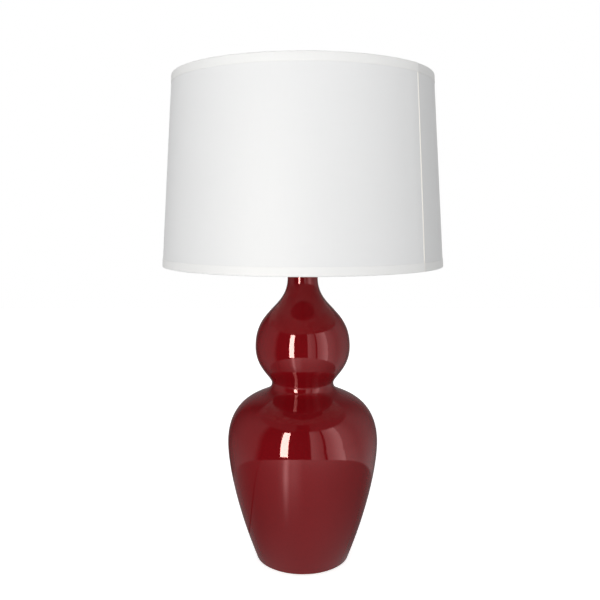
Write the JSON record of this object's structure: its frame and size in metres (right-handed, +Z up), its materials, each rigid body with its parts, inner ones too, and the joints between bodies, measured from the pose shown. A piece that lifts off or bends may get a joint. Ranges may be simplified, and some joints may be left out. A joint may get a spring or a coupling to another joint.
{
  "type": "table lamp",
  "caption": "Double gourd ceramic table lamp with a tapered drum shade on a detachable harp, a turn-knob socket and a screw-in bulb.",
  "frame": {"origin": "centre of the lamp's underside, on the surface it stands on", "axes": "+Z up, -Y is the front with the switch knob, +Y is the back with the cord outlet"},
  "size_m": [0.4317, 0.4318, 0.7749],
  "materials": {
    "oxblood_glaze": "deep oxblood gloss glaze over pale stoneware, bare clay at the foot",
    "grey_felt": "pressed felt",
    "black_rubber": "matte rubber",
    "black_nylon": "moulded nylon",
    "zinc_steel": "zinc plated",
    "satin_brass": "satin lacquered brass",
    "phenolic": "black phenolic",
    "fibre_card": "brown fibre card",
    "knob_black": "moulded black",
    "nickel": "nickel plated",
    "bulb_white": "soft white coated glass",
    "bulb_black": "black glass insulator",
    "white_linen": "fine white linen weave",
    "styrene": "white styrene",
    "shade_wire": "white coated wire"
  },
  "bodies": {
    "lamp_base": {"gourd_body": "oxblood_glaze", "felt_ring": "grey_felt", "cord_bushing": "black_nylon", "lamp_pipe": "zinc_steel", "pipe_bushing": "black_nylon", "rubber_washer": "black_rubber", "steel_washer": "zinc_steel", "lock_washer": "zinc_steel", "hex_nut": "zinc_steel", "vase_cap": "satin_brass", "check_ring": "satin_brass", "neck_spacer": "satin_brass", "harp_saddle": "satin_brass", "socket_cap": "satin_brass", "cap_set_screw": "zinc_steel", "socket_shell": "satin_brass", "shell_insulator": "fibre_card", "socket_body": "phenolic", "terminal_screws": "satin_brass", "screw_shell": "nickel", "centre_contact": "satin_brass"},
    "switch": {"switch_stem": "satin_brass", "switch_knob": "knob_black"},
    "bulb": {"bulb_contact": "nickel", "bulb_insulator": "bulb_black", "bulb_base": "nickel", "bulb_glass": "bulb_white"},
    "harp": {"harp_wire": "satin_brass", "harp_top": "satin_brass"},
    "ferrule_left": {"ferrule_left": "satin_brass"},
    "ferrule_right": {"ferrule_right": "satin_brass"},
    "shade": {"shade_fabric": "white_linen", "shade_liner": "styrene", "top_ring": "shade_wire", "bottom_ring": "shade_wire", "spider": "shade_wire", "top_trim": "white_linen", "bottom_trim": "white_linen"},
    "finial": {"finial": "satin_brass"}
  },
  "joints": [
    {"name": "switch_turn", "type": "hinge", "parent": "lamp_base", "child": "switch", "pos_m": [0, -0.0224, 0.5285], "axis": [0, -1, 0], "continuous": true},
    {"name": "bulb_turn", "type": "hinge", "parent": "lamp_base", "child": "bulb", "pos_m": [0, 0, 0.5418], "axis": [0, 0, 1], "range_deg": [0, 1800]},
    {"name": "harp_lift", "type": "slide", "parent": "lamp_base", "child": "harp", "axis": [0, 0, 1], "range_m": [0, 0.03]},
    {"name": "ferrule_left_slide", "type": "slide", "parent": "harp", "child": "ferrule_left", "axis": [0, 0, 1], "range_m": [0, 0.014]},
    {"name": "ferrule_right_slide", "type": "slide", "parent": "harp", "child": "ferrule_right", "axis": [0, 0, 1], "range_m": [0, 0.014]},
    {"name": "shade_turn", "type": "hinge", "parent": "harp", "child": "shade", "pos_m": [0, 0, 0.7426], "axis": [0, 0, 1], "continuous": true},
    {"name": "finial_turn", "type": "hinge", "parent": "harp", "child": "finial", "pos_m": [0, 0, 0.7449], "axis": [0, 0, 1], "continuous": true}
  ]
}
